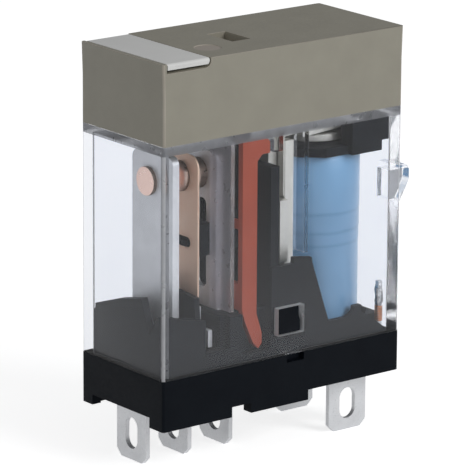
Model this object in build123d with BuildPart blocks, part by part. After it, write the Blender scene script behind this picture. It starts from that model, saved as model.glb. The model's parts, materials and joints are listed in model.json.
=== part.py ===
"""Plug-in relay with one changeover contact, in a clear case with blade terminals.

Millimetres, +Z up.  X runs along the long side from the contacts (-X) to the coil (+X).
The origin is the centre of the base's flat underside, which is the plane z = 0.
"""
import os
from math import cos, radians, sin, tan

from build123d import *

os.makedirs("parts", exist_ok=True)

# ---------------------------------------------------------------- driving dimensions
body_l = 28.9  # length of base, case and cap
body_w = 12.9  # width of base, case and cap
flange_h = 4.0  # height of the base's outer flange
skirt_h = 1.0  # the base's feet and skirt below its underside
shoulder_z = 26.65  # where the cap sits on the case
top_z = 34.5  # top of the cap
blade_tip_z = -5.8  # lower end of every terminal blade

blade_w = 4.65
blade_t = 0.5
blade_pitch = 5.0
blade_corner = 0.7
eye_w = 1.9  # oblong eye in each blade
eye_l = 3.1
eye_z = -3.1  # centre height of the eyes

case_wall = 0.85
case_play = 0.1  # between the base's inner walls and the case
rim_t = 0.55  # thickness of the base's thin inner walls
rim_z = 5.6  # top of the rim inside the case
plate_t = 0.8  # thickness of the fixed contact plates
link_z = 2.2  # lowest point of the cross links buried in the base

coil_x = 8.6  # axis of the coil
coil_r = 4.5
coil_top = 22.3  # underside of the bobbin's top flange
bobbin_t = 0.9
core_r = 2.0

rest_angle = 3.8  # how far the armature stands open
pivot_x = 2.6  # armature knuckle on the yoke's top left edge
pivot_z = 24.2
card_z = 15.35  # height at which the card pushes
contact_z = 21.7
contact_y = 0.2
leaf_x = -7.5  # mid plane of the moving contact spring
leaf_foot_z = 6.6

# ---------------------------------------------------------------- worked out
half_l = body_l / 2
half_w = body_w / 2
case_l = body_l - 0.04
case_w = body_w - 0.04
bay_l = case_l - 2 * case_wall  # inside of the case
bay_w = case_w - 2 * case_wall
deck_z = shoulder_z - 0.9  # underside of the case's top deck
tray_x = bay_l / 2 - case_play  # half length of the base inside the case
tray_y = bay_w / 2 - case_play
well_y = tray_y - rim_t
contact_blade_x = (-12.6, -12.6 + blade_pitch, -12.6 + 2 * blade_pitch)
contact_blade_y = 0.7
coil_blade_x = 9.8
coil_blade_y = 4.1
yoke_t = 1.1
yoke_w = 6.0
yoke_z = 2.1  # underside of the yoke
winding_z = yoke_z + yoke_t + bobbin_t  # lower end of the winding
pin_x = 13.0
pin_y = 4.85
pin_w = 0.5
pin_top = 9.0


def block(x, y, z, mode=Mode.ADD):
    """Box between a low and a high value along each axis."""
    with Locations((sum(x) / 2, sum(y) / 2, sum(z) / 2)):
        Box(x[1] - x[0], y[1] - y[0], z[1] - z[0], mode=mode)


def side_plate(points, y, mode=Mode.ADD):
    """Outline of (x, z) points, extruded between two values of Y."""
    with BuildSketch(Plane.XZ.offset(-y[1])) as outline:
        with BuildLine():
            Polyline(*points, close=True)
        make_face()
    extrude(outline.sketch, amount=y[1] - y[0], mode=mode)


def end_plate(points, x, mode=Mode.ADD):
    """Outline of (y, z) points, extruded between two values of X."""
    with BuildSketch(Plane.YZ.offset(x[0])) as outline:
        with BuildLine():
            Polyline(*points, close=True)
        make_face()
    extrude(outline.sketch, amount=x[1] - x[0], mode=mode)


def disc(x, radius, y=contact_y, z=contact_z, mode=Mode.ADD):
    """Short cylinder along X between two values of X."""
    with BuildSketch(Plane.YZ.offset(x[0])) as outline:
        with Locations((y, z)):
            Circle(radius)
    extrude(outline.sketch, amount=x[1] - x[0], mode=mode)


def blade_outline():
    """Blade below the base: chamfered lower corners and an oblong eye, drawn with z up."""
    top = link_z + blade_t
    with Locations((0, (top + blade_tip_z) / 2)):
        tongue = Rectangle(blade_w, top - blade_tip_z)
    chamfer(tongue.vertices().sort_by(Axis.Y)[:2], blade_corner)
    with Locations((0, eye_z)):
        SlotOverall(eye_l, eye_w, rotation=90, mode=Mode.SUBTRACT)


def finish(piece, name):
    """Label a finished piece and write its STEP file."""
    piece.part.label = name
    export_step(piece.part, f"parts/{name}.step")


# ---------------------------------------------------------------- contact terminals
def contact_blade(x):
    """Blade that stands across the body, with its faces towards +X and -X."""
    blade_plane = Plane(origin=(x - blade_t / 2, contact_blade_y, 0), x_dir=(0, 1, 0), z_dir=(1, 0, 0))
    with BuildSketch(blade_plane) as tongue:
        blade_outline()
    extrude(tongue.sketch, amount=blade_t)


def contact_plate(x, top):
    """Upright plate with rounded top corners, from the cross link to its top."""
    plate_w = 5.7
    with BuildSketch(Plane.YZ.offset(x[0])) as face:
        with Locations((0, (link_z + top) / 2)):
            upright = Rectangle(plate_w, top - link_z)
        fillet(upright.vertices().sort_by(Axis.Y)[-2:], 0.8)
    extrude(face.sketch, amount=x[1] - x[0])


link_y = (contact_blade_y - 1.6, contact_blade_y + 1.6)
open_x = (-10.83, -10.83 + plate_t)
closed_x = (-5.4, -5.4 + plate_t)
plate_top = 24.4
rivet_r = 0.8
tail_r = 1.4
tail_t = 0.45  # how far the rivet tails stand out of the plates
button_r = 1.5
button_round = 0.45

with BuildPart() as open_terminal:
    contact_blade(contact_blade_x[0])
    block((contact_blade_x[0] - blade_t / 2, open_x[1]), link_y, (link_z, link_z + blade_t))
    contact_plate(open_x, plate_top)
    disc(open_x, rivet_r, mode=Mode.SUBTRACT)
finish(open_terminal, "open_terminal")

window_y = 1.0  # half width of the tall window that the card passes through
window_z = (10.5, 19.3)
with BuildPart() as closed_terminal:
    contact_blade(contact_blade_x[2])
    block((closed_x[0], contact_blade_x[2] + blade_t / 2), link_y, (link_z, link_z + blade_t))
    contact_plate(closed_x, plate_top - 0.3)
    with BuildSketch(Plane.YZ.offset(closed_x[0])):
        with Locations((0, sum(window_z) / 2)):
            RectangleRounded(2 * window_y, window_z[1] - window_z[0], 0.6)
    extrude(amount=plate_t, mode=Mode.SUBTRACT)
    disc(closed_x, rivet_r, mode=Mode.SUBTRACT)
finish(closed_terminal, "closed_terminal")

leaf_t = 0.2
leaf_w = 5.1
leaf_face = leaf_x + leaf_t / 2  # right face of the leaf, against the common terminal
anchor_top = 9.2
staple_y = (-1.4, 1.4)
staple_z = 7.9
staple_r = 0.4
with BuildPart() as common_terminal:
    contact_blade(contact_blade_x[1])
    anchor_x = (leaf_face, leaf_face + blade_t)
    block((contact_blade_x[1] - blade_t / 2, anchor_x[1]), link_y, (link_z, link_z + blade_t))
    block(anchor_x, (-2.2, 2.8), (link_z, anchor_top))
    block(anchor_x, (-4.0, -2.2), (rim_z, rim_z + 1.7))
    for y in staple_y:
        disc(anchor_x, staple_r + 0.15, y, staple_z, Mode.SUBTRACT)
finish(common_terminal, "common_terminal")

# ---------------------------------------------------------------- fixed contacts
open_face = -9.28  # face of the open contact
closed_face = -6.6
with BuildPart() as open_contact:
    disc((open_x[1], open_face), button_r)
    fillet(open_contact.faces().sort_by(Axis.X)[-1].edges(), button_round)
    disc(open_x, rivet_r)
    disc((open_x[0] - tail_t, open_x[0]), tail_r)
finish(open_contact, "open_contact")

with BuildPart() as closed_contact:
    disc((closed_face, closed_x[0]), button_r)
    fillet(closed_contact.faces().sort_by(Axis.X)[0].edges(), button_round)
    disc(closed_x, rivet_r)
    disc((closed_x[1], closed_x[1] + tail_t), tail_r)
finish(closed_contact, "closed_contact")

# ---------------------------------------------------------------- moving contact
leaf_top = 24.0
leaf_slot_w = 2.7
leaf_slot_h = 1.0
with BuildPart() as contact_spring:
    with BuildSketch(Plane.YZ.offset(leaf_x - leaf_t / 2)):
        with Locations((0, (leaf_foot_z + leaf_top) / 2)):
            leaf = Rectangle(leaf_w, leaf_top - leaf_foot_z)
        fillet(leaf.vertices().sort_by(Axis.Y)[-2:], 1.2)
        with Locations((0, card_z)):
            SlotOverall(leaf_slot_w, leaf_slot_h, mode=Mode.SUBTRACT)
        with Locations((contact_y, contact_z)):
            Circle(rivet_r, mode=Mode.SUBTRACT)
        for y in staple_y:
            with Locations((y, staple_z)):
                Circle(staple_r, mode=Mode.SUBTRACT)
    extrude(amount=leaf_t)
finish(contact_spring, "contact_spring")

button_t = 0.6
with BuildPart() as moving_contact:
    disc((leaf_x - leaf_t / 2 - button_t, leaf_x - leaf_t / 2), button_r)
    fillet(moving_contact.faces().sort_by(Axis.X)[0].edges(), button_round)
    disc((leaf_face, closed_face - 0.03), button_r)
    fillet(moving_contact.faces().sort_by(Axis.X)[-1].edges(), button_round)
    disc((leaf_x - leaf_t / 2, leaf_face), rivet_r)
finish(moving_contact, "moving_contact")

with BuildPart() as spring_rivets:
    for y in staple_y:
        disc((leaf_x - leaf_t / 2 - 0.25, leaf_x - leaf_t / 2), 0.75, y, staple_z)
        disc((leaf_x - leaf_t / 2, leaf_face + blade_t), staple_r, y, staple_z)
finish(spring_rivets, "spring_rivets")

# ---------------------------------------------------------------- coil
flange_x = (4.05, 13.15)
stop_x = (8.9, tray_x)
stop_y = tray_y
with BuildPart() as bobbin:
    for z in (yoke_z + yoke_t, coil_top):
        with BuildSketch(Plane.XY.offset(z)):
            with Locations((sum(flange_x) / 2, 0)):
                spool = Rectangle(flange_x[1] - flange_x[0], 2 * well_y - 0.2)
            chamfer(spool.vertices(), 2.2)
        extrude(amount=bobbin_t)
    with BuildSketch(Plane.XY.offset(winding_z)):
        with Locations((coil_x, 0)):
            Circle(core_r + 0.6)
    extrude(amount=coil_top - winding_z)
    # stop frame round the armature's free end: two cheeks and an end bar
    stop_top = deck_z - 0.15
    for side in (-1, 1):
        y = sorted((side * stop_y, side * 3.7))
        cheek = [
            (stop_x[0], coil_top),
            (stop_x[1] - 0.85, coil_top),
            (stop_x[1] - 0.85, coil_top + 1.0),
            (stop_x[1], coil_top + 1.0),
            (stop_x[1], stop_top),
            (stop_x[0], stop_top),
        ]
        side_plate(cheek, y)
    block((stop_x[1] - 0.85, stop_x[1]), (-3.7, 3.7), (coil_top + 1.0, stop_top))
    block((flange_x[1] - 0.7, stop_x[1] - 0.85), (-3.7, 3.7), (coil_top, coil_top + 1.6))
    with Locations((coil_x, 0, yoke_z + yoke_t)):
        Cylinder(core_r, 30, align=(Align.CENTER, Align.CENTER, Align.MIN), mode=Mode.SUBTRACT)
finish(bobbin, "bobbin")

tape_t = 0.15
with BuildPart() as coil_winding:
    with BuildSketch(Plane.XY.offset(winding_z)):
        with Locations((coil_x, 0)):
            Circle(coil_r - tape_t)
            Circle(core_r + 0.6, mode=Mode.SUBTRACT)
    extrude(amount=coil_top - winding_z)
finish(coil_winding, "coil_winding")

with BuildPart() as coil_tape:
    with BuildSketch(Plane.XY.offset(winding_z + 0.1)):
        with Locations((coil_x, 0)):
            Circle(coil_r)
            Circle(coil_r - tape_t, mode=Mode.SUBTRACT)
    extrude(amount=coil_top - winding_z - 0.2)
finish(coil_tape, "coil_tape")

pole_r = 3.2
pole_t = 0.8
with BuildPart() as core:
    with BuildSketch(Plane.XY.offset(yoke_z)):
        with Locations((coil_x, 0)):
            Circle(core_r)
    extrude(amount=pivot_z - pole_t - yoke_z)
    with BuildSketch(Plane.XY.offset(pivot_z - pole_t)):
        with Locations((coil_x, 0)):
            Circle(pole_r)
    extrude(amount=pole_t)
    chamfer(core.faces().sort_by(Axis.Z)[-1].edges(), 0.15)
finish(core, "core")

with BuildPart() as yoke:
    yoke_profile = [
        (pivot_x, yoke_z),
        (12.2, yoke_z),
        (12.2, yoke_z + yoke_t),
        (pivot_x + yoke_t, yoke_z + yoke_t),
        (pivot_x + yoke_t, pivot_z),
        (pivot_x, pivot_z),
    ]
    side_plate(yoke_profile, (-yoke_w / 2, yoke_w / 2))
    fillet(yoke.edges().filter_by(Axis.Y).sort_by(Axis.Z)[0:2].sort_by(Axis.X)[0], 0.8)
    with Locations((coil_x, 0, yoke_z)):
        Cylinder(core_r, yoke_t, align=(Align.CENTER, Align.CENTER, Align.MIN), mode=Mode.SUBTRACT)
finish(yoke, "yoke")

# ---------------------------------------------------------------- armature
arm_t = 0.8
arm_end = 11.2
leg_x = (1.4, 2.4)
leg_foot = 12.3
shoulder = 18.6  # top of the leg's wide foot
plate_w = 6.8
foot_w = 7.6
lift = 0.05  # air left under the plate when it is pulled in
rise = tan(radians(rest_angle))
with BuildPart() as armature:
    plate_foot = pivot_z + lift
    plate_end = plate_foot + (arm_end - pivot_x) * rise
    hook = [
        (leg_x[0], shoulder),
        (leg_x[1], shoulder),
        (leg_x[1], plate_foot),
        (pivot_x, plate_foot),
        (arm_end, plate_end),
        (arm_end - arm_t * sin(radians(rest_angle)), plate_end + arm_t * cos(radians(rest_angle))),
        (leg_x[1], plate_foot + arm_t),
        (leg_x[0] + 0.3, plate_foot + arm_t),
        (leg_x[0], plate_foot + arm_t - 0.3),
    ]
    side_plate(hook, (-2.0, 2.0))
    wide = [(pivot_x + 2.0, plate_foot + 2.0 * rise), hook[4], hook[5]]
    wide.append((pivot_x + 2.0, plate_foot + 2.0 * rise + arm_t))
    side_plate(wide, (-plate_w / 2, plate_w / 2))
    block(leg_x, (-foot_w / 2, foot_w / 2), (leg_foot, shoulder))
    fillet(armature.edges().filter_by(Axis.X).group_by(Axis.Z)[0], 0.5)
finish(armature, "armature")

strap_t = 0.15
with BuildPart() as hinge_spring:
    strap_x = (pivot_x - strap_t, pivot_x)
    bridge_z = plate_foot + arm_t + 0.12
    for side in (-1, 1):
        y = sorted((side * 2.15, side * 2.95))
        block(strap_x, y, (shoulder + 0.2, bridge_z))
    block((1.6, 3.4), (-2.95, 2.95), (bridge_z, bridge_z + strap_t))
    block((3.4 - strap_t, 3.4), (-2.95, -2.15), (bridge_z - 0.35, bridge_z))
    block((3.4 - strap_t, 3.4), (2.15, 2.95), (bridge_z - 0.35, bridge_z))
finish(hinge_spring, "hinge_spring")

# ---------------------------------------------------------------- card
card_tip = leaf_face + 0.14
card_nose = leg_x[0] - 0.05
card_y = 1.6
card_h = (14.1, 17.4)
head_y = 2.1  # half width of the card's head, between the leaf and the closed plate
head_right = closed_x[0] - 0.2
neck_right = closed_x[1] + 0.7
tab_z = 17.0  # height at which the card pushes the indicator lever
ear_x = (-2.8, -2.0)
with BuildPart() as card:
    block((neck_right, 0.9), (-card_y, card_y), card_h)
    block((head_right, neck_right), (-window_y + 0.15, window_y - 0.15), (card_z - 0.8, card_z + 1.2))
    block((card_tip, head_right), (-head_y, head_y), (card_h[0], card_h[1] - 0.2))
    block((card_tip - 0.75, card_tip), (-1.1, 1.1), (card_z - 0.3, card_z + 0.3))
    block((0.9, card_nose), (-1.2, 1.2), (card_z - 0.15, card_z + 0.55))
    block(ear_x, (-3.5, -card_y), (tab_z - 0.7, card_h[1]))
    fillet(card.edges().filter_by(Axis.X).group_by(Axis.Z)[-1], 0.25)
finish(card, "card")

# ---------------------------------------------------------------- indicator lever
lever_y = (-5.2, -4.55)
lever_pivot = (-2.3, 5.6)
post_x = (-1.75, -1.0)
flag_x = (-0.85, 1.05)
flag_z = (30.9, 32.4)
with BuildPart() as indicator_lever:
    with BuildSketch(Plane.XZ.offset(-lever_y[1])):
        with BuildLine():
            Polyline(
                (-4.25, 25.5), (-4.25, 9.0), (-3.96, 7.97), (-2.89, 5.55), (-2.26, 4.92),
                (-1.85, 5.4), (-1.85, 6.4), (-2.5, 8.4), (-2.5, 23.4), (-1.9, 24.0),
                (-1.0, 24.0), (-1.0, 25.1), (-1.35, 25.5), close=True,
            )
        make_face()
    extrude(amount=lever_y[1] - lever_y[0])
    # flange that stiffens the foot, and the tab that the card pushes
    block((-4.25, -3.7), (lever_y[1], -3.2), (8.9, 11.5))
    block((ear_x[0] - 0.6, ear_x[0] - 0.08), (lever_y[1], -2.4), (tab_z - 0.5, tab_z + 0.3))
    # arm back to the middle of the body, post through the deck and flag under the window
    block(post_x, (lever_y[1], 0.5), (24.2, 25.5))
    block(post_x, (-0.7, 0.5), (25.5, flag_z[1]))
    block((post_x[0] + 0.55, flag_x[1]), (-0.7, 0.5), flag_z)
    block(flag_x, (-2.0, 1.5), flag_z)
    # round journal that turns in the base
    with BuildSketch(Plane.XZ.offset(-lever_y[1])):
        with Locations(lever_pivot):
            Circle(0.45)
    extrude(amount=-0.9)
finish(indicator_lever, "indicator_lever")

# ---------------------------------------------------------------- coil terminals
def coil_terminal(side):
    """Blade that stands along the body, a buried arm and an upright pin for the winding's end."""
    face = side * coil_blade_y
    blade_plane = Plane(origin=(coil_blade_x, face + blade_t / 2, 0), x_dir=(1, 0, 0), z_dir=(0, -1, 0))
    with BuildSketch(blade_plane) as tongue:
        blade_outline()
    extrude(tongue.sketch, amount=blade_t)
    arm_y = sorted((side * (coil_blade_y - blade_t / 2), side * (pin_y + pin_w / 2)))
    block((coil_blade_x, pin_x + pin_w / 2), arm_y, (link_z - 0.9, link_z - 0.4))
    post_y = sorted((side * (pin_y - pin_w / 2), side * (pin_y + pin_w / 2)))
    block((pin_x - pin_w / 2, pin_x + pin_w / 2), post_y, (link_z - 0.9, pin_top))


with BuildPart() as front_coil_terminal:
    coil_terminal(-1)
finish(front_coil_terminal, "front_coil_terminal")

with BuildPart() as back_coil_terminal:
    coil_terminal(1)
finish(back_coil_terminal, "back_coil_terminal")

lead_r = 0.42
lead_z = (4.9, 6.6)
with BuildPart() as lead_windings:
    for side in (-1, 1):
        with BuildSketch(Plane.XY.offset(lead_z[0])):
            with Locations((pin_x, side * pin_y)):
                Circle(lead_r)
                Rectangle(pin_w, pin_w, mode=Mode.SUBTRACT)
        extrude(amount=lead_z[1] - lead_z[0])
finish(lead_windings, "lead_windings")

# ---------------------------------------------------------------- base
skirt_t = 1.2
foot_t = 1.0
box_right = -8.8
recess_right = -5.9
barrier_x = (-0.75, 0.25)
barrier_top = 22.5
upstand_left = -0.9
lug_out = 6.3  # outer face of the latch lugs
lug_x = (-0.5, 2.15)
with BuildPart() as base:
    block((-half_l, half_l), (-half_w, half_w), (0, flange_h))
    for side in (-1, 1):
        y = sorted((side * half_w, side * (half_w - skirt_t)))
        block((-half_l, -6.2), y, (-skirt_h, 0))
        block((-3.86, 3.14), y, (-skirt_h, 0))
    block((-half_l, -half_l + foot_t), (-half_w, -4.3), (-skirt_h, 0))
    block((-half_l, -half_l + foot_t), (4.8, half_w), (-skirt_h, 0))
    with BuildSketch(Plane.XY.offset(-skirt_h)):
        RectangleRounded(body_l, body_w, 0.25)
    extrude(amount=flange_h + skirt_h, mode=Mode.INTERSECT)
    block((-tray_x, tray_x), (-tray_y, tray_y), (flange_h, rim_z))

    # box round the open contact's plate, with a low notched end wall
    for side, left_top, right_top in ((-1, 9.9, 8.85), (1, 8.4, 8.0)):
        y = sorted((side * tray_y, side * (tray_y - 0.7)))
        side_plate([(-tray_x, rim_z), (box_right, rim_z), (box_right, right_top), (-tray_x, left_top)], y)
    end_wall = [
        (tray_y, rim_z), (tray_y - 0.3, 9.0), (1.4, 10.3), (-2.1, 11.1),
        (-3.4, 7.8), (-4.6, 9.8), (-tray_y, 9.9), (-tray_y, rim_z),
    ]
    end_plate(end_wall, (-tray_x, -tray_x + 0.8))
    block((-tray_x + 0.8, box_right), (-tray_y + 0.7, tray_y - 0.7), (rim_z, 7.4))
    end_plate([(-4.9, rim_z), (-4.4, 10.9), (3.4, 11.4), (3.4, rim_z)], (box_right - 0.6, box_right))

    # blocks that hold the closed contact's plate
    for side in (-1, 1):
        y = sorted((side * tray_y, side * (tray_y - 0.7)))
        block((recess_right, -4.4), y, (rim_z, 8.7))
    block((-6.6, -4.4), (-tray_y + 0.7, tray_y - 0.7), (rim_z, 8.7))

    # barrier between contacts and coil, with the window that guides the card
    block(barrier_x, (-5.1, -1.0), (rim_z, barrier_top))
    block(barrier_x, (-1.0, 5.1), (rim_z, barrier_top + 2.3))
    block(barrier_x, (-card_y - 0.1, card_y + 0.1), (card_h[0] - 0.1, card_h[1] + 0.1), Mode.SUBTRACT)
    block((-4.4, barrier_x[0]), (-4.4, 4.4), (rim_z, 8.7))
    # wall behind the closed plate's window, up to the barrier
    block((-4.4, barrier_x[0]), (4.5, 5.1), (rim_z, barrier_top - 1))

    # side walls that stand beside the yoke and slope down along the coil
    wall = [
        (upstand_left, rim_z), (upstand_left, 12.7), (1.8, 12.7), (1.85, 13.3),
        (4.0, 13.0), (4.1, 12.4), (6.2, 6.2), (8.3, 6.15), (9.0, 6.4), (9.35, 6.75), (9.4, 7.15),
        (10.3, 7.15), (10.3, 6.45), (11.65, rim_z),
    ]
    for side in (-1, 1):
        side_plate(wall, sorted((side * tray_y, side * well_y)))

    # latch lugs that snap into the case, and a pry slot under each
    for side in (-1, 1):
        lug = [
            (side * tray_y, 6.15), (side * lug_out, 6.15), (side * lug_out, 7.2), (side * tray_y, 8.6),
        ]
        end_plate(lug, lug_x)
        y = sorted((side * half_w, side * (half_w - 0.6)))
        block((0.45, 2.55), y, (flange_h - 0.8, flange_h), Mode.SUBTRACT)

    # the rim falls away below the coil pins
    for side in (-1, 1):
        y = sorted((side * (tray_y + 0.1), side * 4.4))
        fall = [
            (11.65, rim_z), (11.65, rim_z + 0.2),
            (tray_x + 0.1, rim_z + 0.2), (tray_x + 0.1, flange_h + 0.1),
        ]
        side_plate(fall, y, Mode.SUBTRACT)

    # well for the coil, recess for the lever's foot, and its journal hole
    with BuildSketch(Plane.XY.offset(yoke_z)):
        with Locations((sum(flange_x) / 2, 0)):
            well = Rectangle(flange_x[1] - flange_x[0] + 0.2, 2 * well_y)
        chamfer(well.vertices(), 2.2)
        with Locations(((flange_x[0] + pivot_x - 0.2) / 2 + 1, 0)):
            Rectangle(flange_x[0] - pivot_x + 2.2, yoke_w + 0.2)
    extrude(amount=flange_h, mode=Mode.SUBTRACT)
    block((-4.4, -1.1), (-tray_y, -4.4), (4.6, rim_z), Mode.SUBTRACT)
    with BuildSketch(Plane.XZ.offset(4.4)):
        with Locations(lever_pivot):
            Circle(0.5)
    extrude(amount=-1.2, mode=Mode.SUBTRACT)
    block((box_right, -6.6), (-tray_y + 0.7, tray_y - 0.7), (4.8, rim_z), Mode.SUBTRACT)
    for metal in (open_terminal, closed_terminal, common_terminal, front_coil_terminal, back_coil_terminal):
        add(metal.part, mode=Mode.SUBTRACT)
finish(base, "base")

# ---------------------------------------------------------------- clear case
collar_h = 1.6
hook_y = (-6.0, -3.2)
hook_wall = 0.5
with BuildPart() as clear_case:
    with BuildSketch(Plane.XY.offset(flange_h)):
        RectangleRounded(case_l, case_w, 0.3)
    extrude(amount=shoulder_z - flange_h)
    with BuildSketch(Plane.XY.offset(shoulder_z)):
        Rectangle(body_l - 2 * 1.0, body_w - 2 * 1.0)
    extrude(amount=collar_h)
    # latch hook on the coil end, hollow towards the inside
    face = case_l / 2
    hook_outline = [
        (face - case_wall, 16.5), (face, 16.5),
        (face + 1.4, 18.9), (face + 1.4, 20.6), (face - case_wall, 20.6),
    ]
    with BuildSketch(Plane.XZ.offset(-hook_y[1])):
        with BuildLine():
            Polyline(*hook_outline, close=True)
        make_face()
        fillet(vertices().sort_by(Axis.X)[-2:].sort_by(Axis.Y)[-1], 0.7)
    extrude(amount=hook_y[1] - hook_y[0])
    block((-bay_l / 2, bay_l / 2), (-bay_w / 2, bay_w / 2), (flange_h, deck_z), Mode.SUBTRACT)
    with BuildSketch(Plane.XY.offset(shoulder_z)):
        Rectangle(body_l - 2 * 1.8, body_w - 2 * 1.8)
    extrude(amount=collar_h, mode=Mode.SUBTRACT)
    hollow = [
        (face - case_wall - 0.1, 17.2), (face - 0.2, 17.2), (face + 1.4 - hook_wall, 19.1),
        (face + 1.4 - hook_wall, 20.6 - hook_wall), (face - case_wall - 0.1, 20.6 - hook_wall),
    ]
    side_plate(hollow, (hook_y[0] + hook_wall + 0.1, hook_y[1] - hook_wall), Mode.SUBTRACT)
    # windows for the base's latch lugs
    for side in (-1, 1):
        y = sorted((side * half_w, side * (bay_w / 2 - 0.1)))
        block((-0.6, 2.54), y, (6.0, 8.72), Mode.SUBTRACT)
    # slot in the deck for the indicator's post
    block((post_x[0] - 1.5, post_x[1] + 0.2), (-1.0, 0.8), (deck_z, shoulder_z), Mode.SUBTRACT)
    # ribs: one beside the closed contact on each side, one beside the yoke, and a small stop tongue
    for side in (-1, 1):
        y = sorted((side * (bay_w / 2), side * 2.35))
        block((-6.0, -5.55), y, (9.2, deck_z))
        y = sorted((side * (bay_w / 2), side * 3.95))
        block((2.9, 3.4), y, (13.6, deck_z))
    block((-0.8, 0.3), (-bay_w / 2, -4.7), (24.1, deck_z))
finish(clear_case, "clear_case")

# ---------------------------------------------------------------- cap and nameplate
cap_wall = 0.9
roof_z = 32.7
pocket_x = (-14.05, -8.9)
pocket_z = 33.6
flare = 0.1
flare_z = 31.4
with BuildPart() as cap:
    cap_side = half_l - 0.05
    cap_outline = [
        (-cap_side, shoulder_z), (cap_side, shoulder_z), (cap_side, flare_z), (cap_side + flare, top_z),
        (-cap_side - flare, top_z), (-cap_side, flare_z),
    ]
    side_plate(cap_outline, (-half_w, half_w))
    fillet(cap.edges().filter_by(Axis.Z, tolerance=4), 0.25)
    with BuildSketch(Plane.XY.offset(shoulder_z)):
        Rectangle(2 * (cap_side - cap_wall), body_w - 2 * cap_wall)
    extrude(amount=roof_z - shoulder_z, mode=Mode.SUBTRACT)
    with BuildSketch(Plane.XZ.offset(-half_w)):
        with Locations(((pocket_x[0] + pocket_x[1]) / 2, (pocket_z + top_z) / 2)):
            pocket = Rectangle(pocket_x[1] - pocket_x[0], top_z - pocket_z)
        fillet(pocket.vertices().sort_by(Axis.Y)[:2].sort_by(Axis.X)[-1], 0.65)
    extrude(amount=body_w, mode=Mode.SUBTRACT)
    block((-3.1, -0.92), (-2.2, 1.7), (roof_z, top_z), Mode.SUBTRACT)
    with BuildSketch(Plane.XY.offset(top_z)):
        with Locations((-6.6, -2.9)):
            Circle(1.3)
    extrude(amount=-0.06, mode=Mode.SUBTRACT)
finish(cap, "cap")

with BuildPart() as nameplate:
    plate_gap = 0.12
    step = 0.3  # height and depth of the step under its ends
    with BuildSketch(Plane.XZ.offset(-(half_w - 0.05))):
        plate_x = (pocket_x[0] + plate_gap, pocket_x[1] - plate_gap)
        with Locations((sum(plate_x) / 2, (pocket_z + plate_gap + top_z) / 2)):
            tag = Rectangle(plate_x[1] - plate_x[0], top_z - pocket_z - plate_gap)
        fillet(tag.vertices().sort_by(Axis.Y)[:2].sort_by(Axis.X)[-1], 0.6)
        fillet(tag.vertices().sort_by(Axis.Y)[-2:].sort_by(Axis.X)[-1], 0.2)
    extrude(amount=body_w - 0.1)
    fillet(nameplate.edges().filter_by(Axis.X).group_by(Axis.Z)[-1], 0.3)
    for side in (-1, 1):
        y = sorted((side * half_w, side * (half_w - 0.05 - 2 * step)))
        block(plate_x, y, (pocket_z, pocket_z + step), Mode.SUBTRACT)
finish(nameplate, "nameplate")
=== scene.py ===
"""Looks of the plug-in relay: softened copies of its moulded and stamped parts, wound and
wrapped pieces made here, procedural materials, a pale floor, soft light and the camera."""
import json
import math

import bmesh
import bpy
from mathutils import Matrix, Vector


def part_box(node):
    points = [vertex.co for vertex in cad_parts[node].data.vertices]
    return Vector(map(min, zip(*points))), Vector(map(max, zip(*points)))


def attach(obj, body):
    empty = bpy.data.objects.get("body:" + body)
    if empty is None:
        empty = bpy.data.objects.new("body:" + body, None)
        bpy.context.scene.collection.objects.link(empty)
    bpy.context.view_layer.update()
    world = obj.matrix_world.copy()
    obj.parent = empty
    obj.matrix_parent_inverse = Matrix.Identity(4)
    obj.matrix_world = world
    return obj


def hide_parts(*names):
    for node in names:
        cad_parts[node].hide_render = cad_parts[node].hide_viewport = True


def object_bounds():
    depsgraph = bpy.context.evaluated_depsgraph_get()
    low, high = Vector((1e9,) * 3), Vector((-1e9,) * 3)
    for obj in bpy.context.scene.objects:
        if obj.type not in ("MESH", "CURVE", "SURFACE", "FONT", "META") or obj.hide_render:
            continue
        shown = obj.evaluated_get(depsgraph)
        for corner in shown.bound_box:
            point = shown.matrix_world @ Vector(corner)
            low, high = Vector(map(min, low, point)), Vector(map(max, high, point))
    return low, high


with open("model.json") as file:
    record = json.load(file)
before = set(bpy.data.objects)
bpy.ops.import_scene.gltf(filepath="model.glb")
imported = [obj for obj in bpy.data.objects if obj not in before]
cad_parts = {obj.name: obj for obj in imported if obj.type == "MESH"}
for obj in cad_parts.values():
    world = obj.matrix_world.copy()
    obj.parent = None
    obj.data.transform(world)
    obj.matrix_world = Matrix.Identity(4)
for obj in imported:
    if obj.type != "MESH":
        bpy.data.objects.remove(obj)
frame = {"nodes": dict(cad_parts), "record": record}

MM = 0.001
scene = bpy.context.scene
cad_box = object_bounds()
BODY_OF = {n: body for body, names in frame["record"]["behaviour"]["bodies"].items() for n in names}
SLOT_OF = {row["node"]: row["material_slot"] for row in frame["record"]["subparts"]}
INSIDE_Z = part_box("clear_case")[0].z + 0.1 * MM  # the base's faces above this are inside the case
# EDGE holds the painted edge highlight of the case and cap, RIM the case's painted grey shade, RIB its
# milky ribs
EDGE, RIM, RIB = 1, 2, 3  # places of the clear case's other looks in its list of materials
CASE_WALL = 0.85 * MM
DECK_Z = 25.75 * MM  # underside of the case's top deck
TAPE_EDGES = (16.4, 14.5, 13.2)  # heights in millimetres where a turn of tape ends


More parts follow.
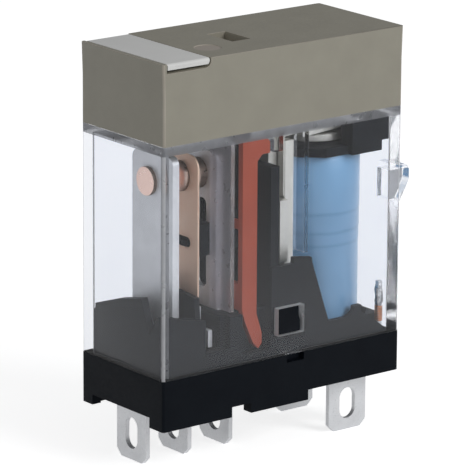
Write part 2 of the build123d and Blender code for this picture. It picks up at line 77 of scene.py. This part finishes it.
# ------------------------------------------------------------------ material building blocks
class Look:
    """A material with one Principled shader, and short ways to feed it from nodes."""

    def __init__(self, name, **values):
        self.material = bpy.data.materials.new(name)
        self.material.use_nodes = True
        self.tree = self.material.node_tree
        self.shader = self.tree.nodes["Principled BSDF"]
        for socket, value in values.items():
            self.shader.inputs[socket.replace("_", " ")].default_value = value
        coords = self.add("ShaderNodeTexCoord")
        scaled = self.add("ShaderNodeVectorMath", operation="SCALE")
        scaled.inputs["Scale"].default_value = 1 / MM
        self.link(coords.outputs["Object"], scaled.inputs[0])
        self.place = scaled.outputs[0]  # place in the row frame, in millimetres

    def add(self, kind, **settings):
        node = self.tree.nodes.new(kind)
        for key, value in settings.items():
            setattr(node, key, value)
        return node

    def link(self, source, target):
        self.tree.links.new(source, target)

    def stretched(self, x, y, z):
        """Place, scaled differently along each axis, for brushed or rolled grain."""
        node = self.add("ShaderNodeVectorMath", operation="MULTIPLY")
        node.inputs[1].default_value = (x, y, z)
        self.link(self.place, node.inputs[0])
        return node.outputs[0]

    def noise(self, per_mm, detail=3.0, place=None):
        node = self.add("ShaderNodeTexNoise")
        node.inputs["Scale"].default_value = per_mm
        node.inputs["Detail"].default_value = detail
        self.link(place or self.place, node.inputs["Vector"])
        return node.outputs["Fac"]

    def spread(self, source, low, high, start=0.3, end=0.7):
        """Map a 0..1 value to a range of numbers."""
        node = self.add("ShaderNodeMapRange")
        for key, value in zip(("From Min", "From Max", "To Min", "To Max"), (start, end, low, high)):
            node.inputs[key].default_value = value
        self.link(source, node.inputs["Value"])
        return node.outputs["Result"]

    def colours(self, source, first, second, start=0.3, end=0.7):
        """Blend two colours by a 0..1 value and return the result."""
        node = self.add("ShaderNodeMix", data_type="RGBA")
        colour_in = [s for s in node.inputs if s.name in "AB" and s.type == "RGBA"]
        colour_in[0].default_value = (*first, 1)
        colour_in[1].default_value = (*second, 1)
        self.link(self.spread(source, 0, 1, start, end), node.inputs["Factor"])
        return [s for s in node.outputs if s.type == "RGBA"][0]

    def paint(self, colour):
        self.link(colour, self.shader.inputs["Base Color"])

    def roughen(self, source, low, high):
        self.link(self.spread(source, low, high), self.shader.inputs["Roughness"])

    def emboss(self, source, depth_mm, strength):
        node = self.add("ShaderNodeBump")
        node.inputs["Strength"].default_value = strength
        node.inputs["Distance"].default_value = depth_mm * MM
        self.link(source, node.inputs["Height"])
        self.link(node.outputs["Normal"], self.shader.inputs["Normal"])

    def axis(self, name):
        split = self.add("ShaderNodeSeparateXYZ")
        self.link(self.place, split.inputs[0])
        return split.outputs[name]

    def maths(self, operation, first, second=0.0, third=0.0):
        node = self.add("ShaderNodeMath", operation=operation)
        for socket, value in zip(node.inputs, (first, second, third)):
            if isinstance(value, (int, float)):
                socket.default_value = value
            else:
                self.link(value, socket)
        return node.outputs[0]


def moulded(name, dark, light, rough, grain_mm=0.0, specular=0.35):
    """Opaque moulded plastic: slow colour drift, uneven gloss and, if asked for, a fine grain."""
    look = Look(name, Specular_IOR_Level=specular)
    look.paint(look.colours(look.noise(0.35, 4), dark, light))
    grain = look.noise(3.5, 4)
    look.roughen(grain, rough - 0.06, rough + 0.06)
    if grain_mm:
        look.emboss(grain, grain_mm, 0.4)
    return look


def plated(name, dark, light, rough, along=(1, 1, 8), metal=1.0, speck=0.35):
    """Plated sheet metal: slightly uneven tone, fine rolling lines and small dull specks."""
    look = Look(name, Metallic=metal)
    lines = look.noise(2.5, 4, look.stretched(*along))
    specks = look.spread(look.noise(5.0, 2), 0, speck, 0.62, 0.72)
    patches = look.maths("MULTIPLY", look.noise(0.5, 4), 0.5)
    tone = look.maths("SUBTRACT", look.maths("MULTIPLY_ADD", lines, 0.5, patches), specks)
    look.paint(look.colours(tone, dark, light))
    look.roughen(lines, rough - 0.1, rough + 0.1)
    return look


def clear_plastic():
    """Clear moulded case: faint blue tint, and a pale painted reflection haze that grows towards its foot.
    """
    look = Look("clear_plastic", IOR=1.2, Roughness=0.0, Specular_IOR_Level=0.2)
    look.paint(look.colours(look.noise(0.15, 2), (0.885, 0.90, 0.935), (0.905, 0.92, 0.95)))
    # painted reflection: less clear, so paler, from 22 mm down to 8 mm
    clear = look.spread(look.axis("Z"), 0.965, 0.992, 8, 22)
    look.link(clear, look.shader.inputs["Transmission Weight"])
    return look


def partly_clear_tinted(name, dark, light, clear):
    """Rounded edges, corners and rims of the clear case, and its ribs: partly clear, pale for painted
    highlight, grey for painted shade, and milky on the ribs.
    """
    look = Look(name, Transmission_Weight=clear, IOR=1.2, Specular_IOR_Level=0.3)
    look.paint(look.colours(look.noise(0.8, 3), dark, light))
    look.roughen(look.noise(1.2, 3), 0.25, 0.4)
    return look


def cap_plastic():
    """Khaki cap with a pale round gate mark on its top."""
    look = moulded("khaki_plastic", (0.350, 0.330, 0.268), (0.378, 0.357, 0.290), 0.46, 0.012, 0.45)
    gate_x, gate_y, gate_r = -6.6, -2.9, 1.3
    top_only = 34.2  # below this height the cap's inside and sides stay plain
    across = look.maths("SUBTRACT", look.axis("X"), gate_x)
    along = look.maths("SUBTRACT", look.axis("Y"), gate_y)
    distance = look.maths("SQRT", look.maths("ADD", look.maths("MULTIPLY", across, across),
                                             look.maths("MULTIPLY", along, along)))
    inside = look.maths("MULTIPLY", look.maths("LESS_THAN", distance, gate_r),
                        look.maths("GREATER_THAN", look.axis("Z"), top_only))
    plain = look.shader.inputs["Base Color"].links[0].from_socket
    mix = look.add("ShaderNodeMix", data_type="RGBA")
    sockets = [s for s in mix.inputs if s.type == "RGBA"]
    look.link(plain, sockets[0])
    sockets[1].default_value = (0.47, 0.41, 0.36, 1)
    look.link(look.maths("MULTIPLY", inside, 0.8), mix.inputs["Factor"])
    look.paint([s for s in mix.outputs if s.type == "RGBA"][0])
    return look


def tape_film():
    """Blue polyester tape: glossy, with faint darker bands where its layers end."""
    look = Look("blue_tape", Coat_Weight=0.4, Coat_Roughness=0.15, Specular_IOR_Level=0.5)
    height = look.axis("Z")
    wave = look.noise(0.5, 3)
    drift = look.maths("MULTIPLY_ADD", wave, 0.25, height)
    bands = None
    for level in TAPE_EDGES:
        gap = look.maths("ABSOLUTE", look.maths("SUBTRACT", drift, level + 0.12))
        line = look.maths("SUBTRACT", 1.0, look.spread(gap, 0, 1, 0.03, 0.30))
        bands = line if bands is None else look.maths("MAXIMUM", bands, line)
    tone = look.maths("SUBTRACT", look.spread(wave, 0.55, 0.75), look.maths("MULTIPLY", bands, 0.4))
    look.paint(look.colours(tone, (0.17, 0.42, 0.75), (0.31, 0.62, 0.97), 0, 1))
    look.roughen(wave, 0.28, 0.42)
    return look


def button_metal():
    """Contact buttons and rivet tails: rosy flat faces, and rims painted darker as painted shade."""
    look = Look("contact_button", Metallic=0.75)
    coords = look.add("ShaderNodeTexCoord")
    split = look.add("ShaderNodeSeparateXYZ")
    look.link(coords.outputs["Normal"], split.inputs[0])
    # painted shade: faces that point along X stay light, the side walls turn dark
    flat = look.maths("ABSOLUTE", split.outputs["X"])
    tone = look.maths("MULTIPLY_ADD", look.noise(2.0, 3), 0.35, look.maths("MULTIPLY", flat, 0.8))
    # the dark colour is the painted shade of the rims, the light one the faces' own rosy metal
    look.paint(look.colours(tone, (0.20, 0.15, 0.12), (0.92, 0.66, 0.56), 0.25, 0.95))
    look.roughen(look.noise(1.5, 3), 0.25, 0.4)
    return look


BLACK = moulded("black_plastic", (0.0040, 0.0058, 0.0090), (0.0066, 0.0088, 0.0130), 0.5, 0, 0.08)
BASE_BLACK = moulded("black_plastic_base", (0.0026, 0.0042, 0.0074), (0.0044, 0.0066, 0.0102),
                     0.5, 0.006, 0.06)
KHAKI = cap_plastic()
# painted highlight: a lighter khaki for the cap's rounded edges and upright corners
KHAKI_EDGE_HIGHLIGHT = moulded("khaki_edge_highlight", (0.45, 0.41, 0.34), (0.52, 0.475, 0.40), 0.4, 0.006, 0.5)
WHITE = moulded("white_plastic", (0.87, 0.87, 0.85), (0.91, 0.91, 0.89), 0.4, 0.004)
RED = moulded("red_plastic", (0.43, 0.068, 0.030), (0.51, 0.088, 0.040), 0.45)
CLEAR = clear_plastic()
# painted highlight: pale, partly opaque plastic for the clear case's rounded edges, corners and window
# reveals
CLEAR_EDGE_HIGHLIGHT = partly_clear_tinted("clear_edge_highlight", (0.74, 0.76, 0.79), (0.88, 0.89, 0.91), 0.35)
CLEAR_RIB = partly_clear_tinted("clear_rib", (0.62, 0.61, 0.66), (0.72, 0.71, 0.76), 0.80)
# painted shade: grey, partly opaque plastic for the case's rims, the hook's hollow and the cavity's inner
# corners
CLEAR_RIM_SHADE = partly_clear_tinted("clear_rim_shade", (0.31, 0.32, 0.34), (0.40, 0.41, 0.44), 0.5)
TIN = plated("tinned_terminal", (0.63, 0.64, 0.66), (0.80, 0.81, 0.83), 0.5, metal=0.55)
STEEL = plated("plated_steel", (0.50, 0.49, 0.45), (0.68, 0.67, 0.62), 0.42, (6, 1, 1), metal=0.85)
COPPER = plated("copper_spring", (0.92, 0.62, 0.46), (0.98, 0.76, 0.60), 0.46, (1, 1, 10),
                metal=0.3, speck=0.2)
SILVER = button_metal()
ENAMEL = plated("enamelled_wire", (0.42, 0.15, 0.06), (0.62, 0.27, 0.12), 0.3, (1, 1, 20))
SOLDER = plated("solder", (0.10, 0.10, 0.11), (0.78, 0.78, 0.77), 0.24, (1, 1, 1), speck=0.6)
TAPE = tape_film()
EDGE_HIGHLIGHT_LOOK = {"clear_case": CLEAR_EDGE_HIGHLIGHT, "cap": KHAKI_EDGE_HIGHLIGHT}
MATERIAL_OF = {
    "base_black": BASE_BLACK, "case_clear": CLEAR, "cap_khaki": KHAKI, "plate_white": WHITE,
    "terminal_tin": TIN, "contact_silver": SILVER, "spring_copper": COPPER, "winding_copper": ENAMEL,
    "tape_blue": TAPE, "steel_plated": STEEL, "lever_red": RED,
}


# ------------------------------------------------------------------ pieces
def add_object(name, data):
    piece = bpy.data.objects.new(name, data)
    scene.collection.objects.link(piece)
    return piece


def settle(piece, *nodes):
    """The piece stands for CAD nodes: it hides them and joins their body."""
    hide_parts(*nodes)
    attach(piece, BODY_OF[nodes[0]])
    return piece


def on_upright_corner(face):
    """Whether a face belongs to a rounded upright corner."""
    normal = face.normal
    return abs(normal.z) < 0.05 and max(abs(normal.x), abs(normal.y)) < 0.99


def shape_case(work):
    """Round the cavity's upright corners, and mark the faces for the ribs' milky look, the painted grey
    shade and the painted edge highlight.
    """
    low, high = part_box("clear_case")
    half_x, half_y = -low.x, high.y
    cavity_x, cavity_y = half_x - CASE_WALL, half_y - CASE_WALL
    near = 0.02 * MM
    long_edge = 10 * MM
    window_top = 9 * MM
    hollow_side_y = (5.2 * MM, 5.7 * MM)  # the hook's hollow ends on this side of the case
    rib_x = (5.4 * MM, 6.1 * MM)  # the ribs beside the closed contact

    def at_cavity_corner(vertex):
        return abs(abs(vertex.co.x) - cavity_x) < near and abs(abs(vertex.co.y) - cavity_y) < near

    upright = [edge for edge in work.edges
               if abs(edge.verts[0].co.z - edge.verts[1].co.z) > long_edge
               and all(map(at_cavity_corner, edge.verts))]
    bmesh.ops.bevel(work, geom=upright, offset=0.3 * MM, segments=5, profile=0.5, affect="EDGES")
    bmesh.ops.bisect_plane(work, geom=[*work.verts, *work.edges, *work.faces], dist=1e-7,
                           plane_co=(0, 0, DECK_Z), plane_no=(0, 0, 1))
    work.normal_update()
    for face in work.faces:
        middle = face.calc_center_median()
        corner = on_upright_corner(face)
        inner_corner = corner and abs(middle.x) < half_x - 0.4 * MM
        rim = middle.z > DECK_Z and abs(face.normal.z) < 0.5
        in_wall = cavity_y < abs(middle.y) < half_y - 0.01 * MM
        reveal = in_wall and middle.z < window_top and abs(face.normal.y) < 0.5
        hook = (middle.x > half_x - 0.3 * MM and face.normal.y > 0.9
                and hollow_side_y[0] < -middle.y < hollow_side_y[1])
        rib = rib_x[0] < -middle.x < rib_x[1] and abs(middle.y) < cavity_y
        # ribs take the milky look; rims, the hook's hollow and inner corners a painted grey shade; window
        # reveals and outer corners a painted edge highlight
        if rib and middle.z < DECK_Z:
            face.material_index = RIB
        elif rim or hook or inner_corner:
            face.material_index = RIM
        elif reveal or corner:
            face.material_index = EDGE


def softened(node, name, radius_mm):
    """Copy of a CAD node with its flat faces made whole again and its sharp edges rounded."""
    source = frame["nodes"][node].data
    work = bmesh.new()
    work.from_mesh(source)
    bmesh.ops.remove_doubles(work, verts=work.verts, dist=0.0005 * MM)
    bmesh.ops.dissolve_limit(work, angle_limit=math.radians(0.4), verts=work.verts, edges=work.edges)
    if node == "clear_case":
        shape_case(work)
    if node == "cap":
        # the cap's upright rounded corners get the painted edge highlight
        for face in work.faces:
            face.material_index = EDGE if on_upright_corner(face) else 0
    if node == "base":
        for face in work.faces:
            face.material_index = int(face.calc_center_median().z > INSIDE_Z)
    mesh = bpy.data.meshes.new(name)
    work.to_mesh(mesh)
    work.free()
    for attribute in ("custom_normal", "sharp_face"):
        if attribute in mesh.attributes:
            mesh.attributes.remove(mesh.attributes[attribute])
    mesh.materials.append(MATERIAL_OF[SLOT_OF[node]].material)
    mesh.shade_smooth()
    piece = add_object(name, mesh)
    bevel = piece.modifiers.new("edges", "BEVEL")
    bevel.width = radius_mm * MM
    bevel.segments = 2
    bevel.limit_method = "ANGLE"
    bevel.angle_limit = math.radians(32)
    bevel.miter_outer = "MITER_ARC"
    bevel.harden_normals = True
    # the bevelled edges of the cap and case get their painted edge highlight
    if node in EDGE_HIGHLIGHT_LOOK:
        mesh.materials.append(EDGE_HIGHLIGHT_LOOK[node].material)
        bevel.material = EDGE
    if node == "clear_case":
        # the painted grey shade for the rims, then the ribs' milky look
        mesh.materials.append(CLEAR_RIM_SHADE.material)
        mesh.materials.append(CLEAR_RIB.material)
    if node == "base":
        mesh.materials.append(BLACK.material)
    return settle(piece, node)


def turned(name, profile, centre, material, sides=96):
    """Closed ring turned from (radius, height) points about an upright axis, in millimetres."""
    work = bmesh.new()
    rings = []
    for k in range(sides):
        turn = 2 * math.pi * k / sides
        ring = []
        for radius, height in profile:
            x = centre[0] + radius * math.cos(turn)
            y = centre[1] + radius * math.sin(turn)
            ring.append(work.verts.new((x * MM, y * MM, height * MM)))
        rings.append(ring)
    for k in range(sides):
        here, after = rings[k], rings[(k + 1) % sides]
        for i in range(len(profile)):
            j = (i + 1) % len(profile)
            work.faces.new((here[i], after[i], after[j], here[j]))
    bmesh.ops.recalc_face_normals(work, faces=work.faces)
    mesh = bpy.data.meshes.new(name)
    work.to_mesh(mesh)
    work.free()
    mesh.shade_smooth()
    mesh.set_sharp_from_angle(angle=math.radians(40))
    mesh.materials.append(material)
    return add_object(name, mesh)


def wound_tape():
    """Tape round the coil: three turns end in small steps, and the edges are thin."""
    low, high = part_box("coil_tape")
    centre = ((low.x + high.x) / 2 / MM, (low.y + high.y) / 2 / MM)
    outer = (high.x - low.x) / 2 / MM
    bottom, top = low.z / MM, high.z / MM
    step = 0.035
    levels = [top, *TAPE_EDGES, bottom]
    profile = [(outer - 0.14, top), (outer - 0.14, bottom)]
    radius = outer - step * len(TAPE_EDGES)
    side = []
    for index in range(len(levels) - 1, 0, -1):
        low_z, high_z = levels[index], levels[index - 1]
        side += [(radius - 0.02, low_z + 0.001), (radius, low_z + 0.05), (radius, high_z - 0.03)]
        radius += step
    side.append((radius - step - 0.02, top))
    piece = turned("tape_wrap", profile + side, centre, TAPE.material)
    return settle(piece, "coil_tape")


def wire(lines, radius_mm, name, material):
    """Round wire along smooth lines, each a list of points in millimetres."""
    curve = bpy.data.curves.new(name, "CURVE")
    curve.dimensions = "3D"
    curve.bevel_depth = radius_mm * MM
    curve.bevel_resolution = 3
    curve.use_fill_caps = True
    for line in lines:
        spline = curve.splines.new("NURBS")
        spline.points.add(len(line) - 1)
        for point, place in zip(spline.points, line):
            point.co = (*(c * MM for c in place), 1)
        spline.order_u = 3
        spline.use_endpoint_u = True
    curve.materials.append(material)
    return add_object(name, curve)


def lead_turns():
    """Wire turns wrapped round both coil pins."""
    low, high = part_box("lead_windings")
    pin_x = (low.x + high.x) / 2 / MM
    radius = (high.x - low.x) / 2 / MM - 0.06
    bottom, top = low.z / MM + 0.07, high.z / MM - 0.07
    turns, per_turn = 9, 10
    sleeve_r = 0.42
    lines = []
    for side in (-1, 1):
        pin_y = side * (high.y / MM - sleeve_r)
        line = []
        for k in range(turns * per_turn + 1):
            turn = 2 * math.pi * k / per_turn
            z = bottom + (top - bottom) * k / (turns * per_turn)
            line.append((pin_x + radius * math.cos(turn), pin_y + side * radius * math.sin(turn), z))
        lines.append(line)
    return settle(wire(lines, 0.062, "lead_turns", ENAMEL.material), "lead_windings")


def solder_caps():
    """Lumpy solder over the tips of both coil pins and the last turns of wire."""
    for side, node in ((-1, "front_coil_terminal"), (1, "back_coil_terminal")):
        low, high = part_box(node)
        edge = low.y if side < 0 else high.y
        pin_half = 0.25
        centre = (high.x / MM - pin_half, edge / MM - side * pin_half)
        tip = high.z / MM
        profile = [
            (0.02, tip - 2.7), (0.30, tip - 2.6), (0.40, tip - 2.1), (0.36, tip - 1.5),
            (0.38, tip - 0.9), (0.30, tip - 0.5), (0.20, tip - 0.15), (0.02, tip),
        ]
        piece = turned("solder_" + node, profile, centre, SOLDER.material, 32)
        for vertex in piece.data.vertices:
            x, y, z = vertex.co.x / MM - centre[0], vertex.co.y / MM - centre[1], vertex.co.z / MM
            swell = 1 + 0.22 * math.sin(3.1 * z + 3 * math.atan2(y, x)) * min(1, math.hypot(x, y) / 0.3)
            vertex.co.x = (centre[0] + x * swell) * MM
            vertex.co.y = (centre[1] + y * swell) * MM
        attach(piece, BODY_OF[node])


EDGE_MM = {
    "base": 0.10, "cap": 0.12, "clear_case": 0.07, "bobbin": 0.08, "card": 0.06, "indicator_lever": 0.09,
    "open_terminal": 0.06, "closed_terminal": 0.06, "common_terminal": 0.06, "front_coil_terminal": 0.06,
    "back_coil_terminal": 0.06, "yoke": 0.08, "armature": 0.08, "core": 0.06, "hinge_spring": 0.03,
    "contact_spring": 0.03, "nameplate": 0.06, "moving_contact": 0.04, "open_contact": 0.04,
    "closed_contact": 0.04, "spring_rivets": 0.06,
}
made = {node: softened(node, node + "_shape", radius) for node, radius in EDGE_MM.items()}
wound_tape()
lead_turns()
solder_caps()
frame["nodes"]["coil_winding"].data.materials.clear()
frame["nodes"]["coil_winding"].data.materials.append(ENAMEL.material)
for node in ("bobbin", "card"):
    made[node].data.materials[0] = BLACK.material

# the case lets light reach what it covers
made["clear_case"].visible_shadow = False
made["clear_case"].visible_diffuse = False


# ------------------------------------------------------------------ floor, light and camera
def floor():
    low = cad_box[0]
    half = 1.5
    mesh = bpy.data.meshes.new("floor")
    corners = [(-half, -half), (half, -half), (half, half), (-half, half)]
    mesh.from_pydata([(x, y, low.z) for x, y in corners], [], [(0, 1, 2, 3)])
    look = Look("floor", Roughness=0.8, Specular_IOR_Level=0.1,
                Emission_Color=(1, 1, 1, 1), Emission_Strength=0.74)
    look.paint(look.colours(look.noise(0.02, 2), (0.80, 0.80, 0.80), (0.83, 0.83, 0.83)))
    mesh.materials.append(look.material)
    piece = add_object("floor", mesh)
    piece.visible_diffuse = False


def softbox(name, place, aim, size, power):
    """Square area light at a place, aimed at a point, both in metres."""
    data = bpy.data.lights.new(name, "AREA")
    data.shape = "SQUARE"
    data.size = size
    data.energy = power
    lamp = add_object(name, data)
    lamp.location = place
    lamp.rotation_euler = (Vector(aim) - Vector(place)).to_track_quat("-Z", "Y").to_euler()


def surroundings(light, seen):
    """Plain pale surroundings: as bright as seen behind the object, dimmer as a light."""
    world = bpy.data.worlds.new("studio")
    scene.world = world
    world.use_nodes = True
    tree = world.node_tree
    shade = tree.nodes["Background"]
    shade.inputs["Color"].default_value = (0.97, 0.98, 1.0, 1)
    path = tree.nodes.new("ShaderNodeLightPath")
    direct = tree.nodes.new("ShaderNodeMath")
    direct.operation = "MAXIMUM"
    tree.links.new(path.outputs["Is Camera Ray"], direct.inputs[0])
    tree.links.new(path.outputs["Is Transmission Ray"], direct.inputs[1])
    level = tree.nodes.new("ShaderNodeMapRange")
    level.inputs["To Min"].default_value = light
    level.inputs["To Max"].default_value = seen
    tree.links.new(direct.outputs[0], level.inputs["Value"])
    tree.links.new(level.outputs["Result"], shade.inputs["Strength"])


def camera():
    """Long lens, to the left of the front and slightly above."""
    azimuth, elevation, roll = map(math.radians, (-38.147, 15.241, 0.363))
    away = Vector((math.sin(azimuth) * math.cos(elevation), -math.cos(azimuth) * math.cos(elevation),
                   math.sin(elevation)))
    right = Vector((math.cos(azimuth), math.sin(azimuth), 0))
    up = away.cross(right)
    right, up = (right * math.cos(roll) + up * math.sin(roll), up * math.cos(roll) - right * math.sin(roll))
    target = Vector((0, 0, 16.0))
    place = (target + away * 396.07 - right * 0.731 - up * 1.356) * MM
    data = bpy.data.cameras.new("camera")
    data.sensor_width = 36
    data.lens = 315.0
    data.clip_start = 0.01
    data.clip_end = 20
    view = add_object("camera", data)
    turn = Matrix((right, up, away)).transposed().to_4x4()
    view.matrix_world = Matrix.Translation(place) @ turn
    scene.camera = view


floor()
surroundings(0.25, 1.0)
softbox("key", (0.18, -0.50, 0.32), (0, 0, 0.015), 0.30, 1.55)
softbox("fill", (-0.50, -0.20, 0.16), (0, 0, 0.015), 0.30, 0.24)
scene.cycles.max_bounces = 32
scene.cycles.transmission_bounces = 32
scene.cycles.glossy_bounces = 32
camera()
scene.view_settings.view_transform = "Standard"
